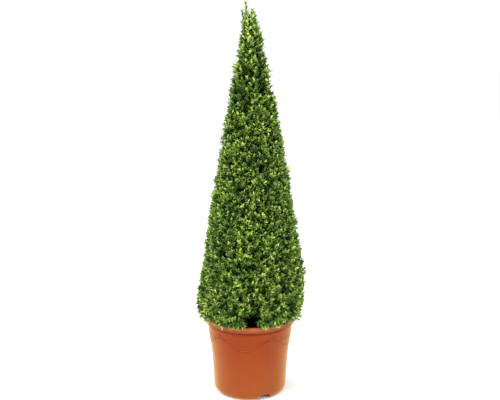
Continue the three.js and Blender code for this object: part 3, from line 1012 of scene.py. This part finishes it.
def leaf_arrays(base, along, face, length, width):
    """The template carried to each leaf's base, along its length and facing its way."""
    face = unit(face - along * (face * along).sum(-1, keepdims=True))
    across = np.cross(along, face)
    size = length[:, None, None]
    points = (
        base[:, None]
        + LEAF[None, :, :1] * width[:, None, None] * across[:, None]
        + LEAF[None, :, 1:2] * size * along[:, None]
        + LEAF[None, :, 2:] * size * face[:, None]
    )
    offset = (np.arange(len(base)) * len(LEAF))[:, None, None]
    return points.reshape(-1, 3), [(LEAF_FACES[None] + offset).reshape(-1, 3)]


print("leaf:", len(LEAF), "points,", len(LEAF_FACES), "triangles")

# %% [markdown]
# Leaves stand in pairs, and each pair is turned a quarter from the one below it. Every
# pair stands off its shoot by an angle that closes towards the tip, and the upper face
# of a leaf looks along the shoot, tilted to the light. The rule is stated once, for
# any number of pairs at once, so that sprays and the uncut shoots at the top share it.

# %% Set the leaves in pairs
# Chances of growth: in the turn (radians), the spread (degrees) and the facing.
TURN_CHANCE, SPREAD_CHANCE, FACE_CHANCE = 0.22, 10, 0.28
TO_LIGHT = 0.3  # how far a face tilts up
LEAST_SHARE, MOST_SHARE = 0.78, 1.18  # of a pair's length, for each of its leaves


def set_pairs(place, axis, side, turn, spread, length, draw):
    """Base, direction, face and length of two opposite leaves at each place."""
    other = np.cross(axis, side)
    turn = turn[:, None] + [0, np.pi] + draw.normal(0, TURN_CHANCE, (len(turn), 2))
    off = np.cos(turn)[..., None] * side[:, None] + np.sin(turn)[..., None] * other[:, None]
    spread = spread[:, None] + draw.normal(0, SPREAD_CHANCE, turn.shape)
    spread = np.radians(spread)[..., None]
    axis = axis[:, None] + 0 * off
    along = np.cos(spread) * axis + np.sin(spread) * off
    face = np.sin(spread) * axis - np.cos(spread) * off + TO_LIGHT * UP
    face = face + draw.normal(0, FACE_CHANCE, off.shape)
    length = length[:, None] * draw.uniform(LEAST_SHARE, MOST_SHARE, turn.shape)
    base = place[:, None] + 0 * off
    return [v.reshape(-1, 3) for v in (base, along, face)] + [length.ravel()]


LEAF_LENGTH, LOOSE_LENGTH = 16.2, 6.2  # mm, and what the loose top adds
FOOT_SPREAD, TIP_SPREAD = 58, 24  # degrees between a leaf and its shoot
step = np.tile((np.arange(LEAF_PAIRS) + 0.7) / (LEAF_PAIRS - 0.2), SPRAYS)
way_each = np.repeat(spray_way, LEAF_PAIRS, 0)
place_each = np.repeat(spray_base, LEAF_PAIRS, 0)
place_each = place_each + way_each * (step * np.repeat(spray_length, LEAF_PAIRS))[:, None]
side_each = np.repeat(unit(np.cross(spray_way, rng.normal(size=(SPRAYS, 3)))), LEAF_PAIRS, 0)
quarter_turn = np.tile(np.arange(LEAF_PAIRS) * np.pi / 2, SPRAYS)
leaf_length = (LEAF_LENGTH + LOOSE_LENGTH * tip_loose) * rng.uniform(0.82, 1.18, SPRAYS) * MM
length_each = np.repeat(leaf_length, LEAF_PAIRS) * (0.8 + 0.3 * np.sin(np.pi * step))
spread_each = FOOT_SPREAD + (TIP_SPREAD - FOOT_SPREAD) * step**1.3
spray_leaves = set_pairs(
    place_each, way_each, side_each, quarter_turn, spread_each, length_each, rng
)
print(len(spray_leaves[3]), "leaves, mean", (spray_leaves[3].mean() / MM).round(1), "mm long")

# %% [markdown]
# ## The uncut shoots
# Above the clipped part a handful of shoots have never been cut. They are the ones that
# give the tip its outline, so each is named and placed: a thin leader with small leaves,
# a rounder shoot on its right, a short one on its left that ends in one upright leaf,
# and sprigs at the sides. Each is a curve with its own number of pairs, whose leaves
# shorten and close up towards its tip.

# %% Grow the uncut shoots
# foot, tip (mm); pairs; leaf length and spread at foot and at tip (mm, degrees); tone.
UNCUT_SHOOTS = {
    "leader": ((-5, -4, 1185), (-12, -1, 1322), 20, (20, 17), (54, 50), 2.9),
    "leader_tip": ((-12, -1, 1306), (-14, 0, 1358), 13, (18, 14), (66, 42), 2.4),
    "leader_left": ((-8, -8, 1190), (-20, -5, 1306), 17, (20, 16), (56, 36), 2.6),
    "leader_right": ((-4, -8, 1190), (-9, -4, 1318), 19, (20, 15), (54, 34), 3.1),
    "leader_back": ((-6, 8, 1190), (-13, 6, 1320), 18, (20, 15), (54, 34), 2.0),
    "between": ((0, 2, 1215), (-2, 4, 1316), 16, (19, 12), (56, 30), 1.2),
    "right": ((14, -2, 1205), (9, 1, 1330), 20, (20, 16), (60, 26), 2.3),
    "right_tip": ((11, 2, 1284), (9, 0, 1328), 9, (17, 16), (60, 24), 1.9),
    "right_outer": ((16, 2, 1225), (15, 3, 1314), 16, (20, 16), (60, 34), 2.3),
    "right_back": ((12, 8, 1215), (11, 6, 1318), 17, (19, 16), (58, 34), 1.6),
    "right_front": ((10, -14, 1200), (9, -7, 1308), 18, (20, 16), (56, 34), 2.2),
    "right_side": ((18, -6, 1195), (21, -4, 1296), 16, (20, 16), (58, 36), 2.2),
    "left": ((-18, -2, 1205), (-25, -3, 1326), 14, (18, 13), (52, 4), 1.5),
    "left_low": ((-16, -8, 1205), (-25, -9, 1288), 12, (19, 15), (56, 40), 1.7),
    "side_sprig": ((14, -6, 1198), (28, -4, 1274), 11, (17, 16), (48, 8), 2.3),
    "low_side_sprig": ((18, -6, 1184), (36, -7, 1254), 10, (18, 16), (50, 22), 2.6),
    "front": ((-3, -30, 1150), (-8, -14, 1290), 16, (22, 19), (42, 22), 3.3),
    "front_leaf": ((-6, -34, 1228), (-5, -34, 1232), 2, (18, 20), (5, 2), 2.7),
    "front_left": ((-16, -26, 1140), (-20, -14, 1262), 13, (22, 17), (50, 30), 2.0),
    "back": ((-4, 26, 1160), (-6, 14, 1300), 14, (22, 18), (48, 28), 2.6),
}


def uncut_shoot(foot, tip, pairs, lengths, spreads, tone, draw):
    """Pairs along a bowed line: place, axis, side, turn, spread, length and tone."""
    foot, tip = np.array(foot, float) * MM, np.array(tip, float) * MM
    middle = (foot + tip) / 2 + draw.normal(0, 0.002, 3)
    path = curve(foot[None], middle[None], tip[None], pairs)[0]
    axis = unit(np.gradient(path, axis=0))
    side = unit(np.cross(axis, draw.normal(size=3)))
    share = np.linspace(0, 1, pairs)
    turn = np.arange(pairs) * np.pi / 2 + draw.uniform(0, 2 * np.pi)
    spread = spreads[0] + (spreads[1] - spreads[0]) * share
    length = (lengths[0] + (lengths[1] - lengths[0]) * share) * MM
    return path, axis, side, turn, spread, length, tone + 0.8 * share


uncut = [uncut_shoot(*shape, rng) for shape in UNCUT_SHOOTS.values()]
uncut_leaves = set_pairs(*[np.concatenate([u[k] for u in uncut]) for k in range(6)], rng)
uncut_tone = np.repeat(np.concatenate([u[6] for u in uncut]), 2)
print(len(UNCUT_SHOOTS), "uncut shoots with", len(uncut_tone), "leaves")

# %% [markdown]
# ## Leaf colours
# Boxwood leaves open a yellowish lime, turn fresh green, and darken with age, and those
# inside the crown are dark and small. The colours are dealt out by spray: each spray
# gets a tone from how deep it lies, which paints the shade inside the crown into the
# leaves' colour, from a slow drift over the crown and from chance. The youngest pairs
# at its tip are a step or so lighter: partly young growth, partly a painted highlight
# on the outermost leaves. Every colour is a plain base colour under the same waxy gloss.

# %% Deal out the colours
# A tone is a place in this list: 0 is shaded and 4 is lime.
LEAF_COLOURS = [
    ("shaded", "#182a0b"),
    ("mature", "#354f1e"),
    ("green", "#54732e"),
    ("fresh", "#7a9b3b"),
    ("lime", "#a8c154"),
    ("olive", "#677637"),
]
FACE_TONE = 2.35
# Each this many mm of depth darkens a leaf by one tone: painted shade inside the crown.
SHADE_DEPTH_PER_TONE = 13  # mm
# The lighter tip pairs are partly young growth and partly a painted highlight.
YOUNG_AND_HIGHLIGHT_TONE = 1.4  # what a spray's youngest pairs are lighter by
drift = 0.4 * ripple(tips, 0.16, 31)
# The depth term paints the shade inside the crown into the leaves' colour.
tone = FACE_TONE - depth / MM / SHADE_DEPTH_PER_TONE + drift + rng.normal(0, 0.6, SPRAYS)
tone_each = np.repeat(tone - 0.1 * tip_loose, LEAF_PAIRS)
# Partly young growth, partly painted highlight: the youngest pairs at each spray's tip are
# lighter.
tone_each = tone_each + YOUNG_AND_HIGHLIGHT_TONE * smooth_step(step, 0.6, 0.95)
tone_each = np.repeat(tone_each, 2) + rng.normal(0, 0.3, len(spray_leaves[3]))
dealt = np.clip(np.round(tone_each), 0, 4).astype(int)
olive = np.repeat(rng.random(SPRAYS) < 0.03 + 0.13 * tip_loose, 2 * LEAF_PAIRS)
dealt = np.where(olive & (dealt < 4), 5, dealt)
print("leaves of each colour:", np.bincount(dealt).tolist())

# %% [markdown]
# Every leaf of one colour in one mass goes into one piece, so that none is too large. A
# leaf on the clipped face is narrow, and one on the loose top, which has had more light
# and room, is rounder.

# %% Make the leaves
LEAF_WIDTHS = (0.38, 0.38, 0.49)  # of its length, for each mass
UNCUT_WIDTH = 0.5


def waxy_leaf(name, colour):
    """A leaf's cuticle: a plain colour, half gloss, and the index of plant wax."""
    return new_material(
        "waxy_boxwood_leaf_" + name,
        Base_Color=linear(colour),
        Roughness=0.34,
        IOR=1.45,
        Specular_IOR_Level=0.5,
    )[0]


def leaf_piece(name, leaves, chosen, width, material, stands_for):
    """The chosen leaves as one piece."""
    base, along, face, length = [v[chosen] for v in leaves]
    points, faces = leaf_arrays(base, along, face, length, length * width)
    mesh_piece(name, points, faces, material, stands_for)


waxy = [waxy_leaf(name, colour) for name, colour in LEAF_COLOURS]
seams = [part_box("foliage_middle")[0].z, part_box("foliage_top")[0].z]
mass_each = np.repeat(np.digitize(tip_height, seams), 2 * LEAF_PAIRS)
for mass, (mass_name, width) in enumerate(zip(MASSES, LEAF_WIDTHS)):
    for index, (name, _) in enumerate(LEAF_COLOURS):
        own = (mass_each == mass) & (dealt == index)
        piece_name = mass_name + "_" + name
        leaf_piece(piece_name, spray_leaves, own, width, waxy[index], [mass_name])
uncut_dealt = np.clip(np.round(uncut_tone + rng.normal(0, 0.35, len(uncut_tone))), 1, 4)
for index in range(1, 5):
    name = "uncut_" + LEAF_COLOURS[index][0]
    own = uncut_dealt == index
    leaf_piece(name, uncut_leaves, own, UNCUT_WIDTH, waxy[index], SPIRES)
for name, shoot in zip(UNCUT_SHOOTS, uncut):
    points, faces = tubes(shoot[0][None], 1.3 * MM, 0.5 * MM, 5)
    mesh_piece("stem_of_" + name, points, faces, green_wood, SPIRES)

# %% [markdown]
# ## Floor and light
# The pot stands on a plain white floor in a white room. A broad sheet of light overhead
# whitens the floor and lights the leaves from above, so that the gaps between them stay
# dark. Two soft boxes at the sides model the cone and the pot, which is why both are
# a little darker down the middle, and two weaker ones behind light their edges. The
# room itself gives only a weak fill, but is white to look at.

# %% Floor, room and lamps
FLOOR_RADIUS, FLOOR_DROP = 40.0, 0.0004  # metres
FLOOR_CORNERS = 64
FLOOR_WHITE = (0.93, 0.93, 0.93, 1)  # in linear light
ROOM_FILL, ROOM_SEEN = 0.27, 1.05
SHEET_STRENGTH, SHEET_SPREAD = 2.75, 75  # watts on each square metre, and degrees


def pale_floor():
    """A large flat disc just under the pot, of matte white paint."""
    angle = round_angles(FLOOR_CORNERS)
    rim = cylinder_to_xyz(FLOOR_RADIUS, angle, 0 * angle - FLOOR_DROP)
    mesh = bpy.data.meshes.new("floor")
    mesh.from_pydata(rim.tolist(), [], [list(range(FLOOR_CORNERS))])
    paint = new_material("matte_white_paint", Base_Color=FLOOR_WHITE, Roughness=0.9)[0]
    mesh.materials.append(paint)
    floor = new_object("floor", mesh)


def white_room(fill, seen):
    """A white surround: its strength as light, and its strength where it is looked at."""
    world = bpy.data.worlds.new("white_room")
    world.use_nodes = True
    tree = world.node_tree
    tree.nodes.clear()
    looked_at = add_node(tree, "LightPath").outputs["Is Camera Ray"]
    shares = {"Value": looked_at, "To Min": fill, "To Max": seen}
    strength = add_node(tree, "MapRange", shares)
    light = {"Color": (1, 1, 1, 1), "Strength": strength}
    white = add_node(tree, "Background", light)
    add_node(tree, "OutputWorld", {"Surface": white})
    bpy.context.scene.world = world


def lamp(name, kind, place, target, energy, **settings):
    """A lamp of a kind at a place, turned to face a target."""
    data = bpy.data.lights.new(name, kind)
    data.energy = energy
    for key, value in settings.items():
        setattr(data, key, value)
    light = new_object(name, data)
    light.location = place
    light.rotation_euler = (Vector(target) - Vector(place)).to_track_quat("-Z", "Y").to_euler()


pale_floor()
white_room(ROOM_FILL, ROOM_SEEN)
spread = math.radians(SHEET_SPREAD)
lamp("overhead_sheet", "SUN", (-0.4, -0.7, 4), (0, 0, 0), SHEET_STRENGTH, angle=spread)
MIDDLE = (0, 0, 0.65)
# Each soft box's name, place (metres) and watts.
SOFT_BOXES = [
    ("left_box", (-2.3, -1.9, 1.05), 85),
    ("right_box", (2.4, -1.6, 1.05), 70),
    ("left_back_box", (-2.2, 2.1, 1.05), 48),
    ("right_back_box", (2.3, 2.0, 1.05), 42),
]
for name, place, watts in SOFT_BOXES:
    lamp(name, "AREA", place, MIDDLE, watts, shape="RECTANGLE", size=1.2, size_y=1.9)
bpy.context.scene.view_settings.view_transform = "Standard"
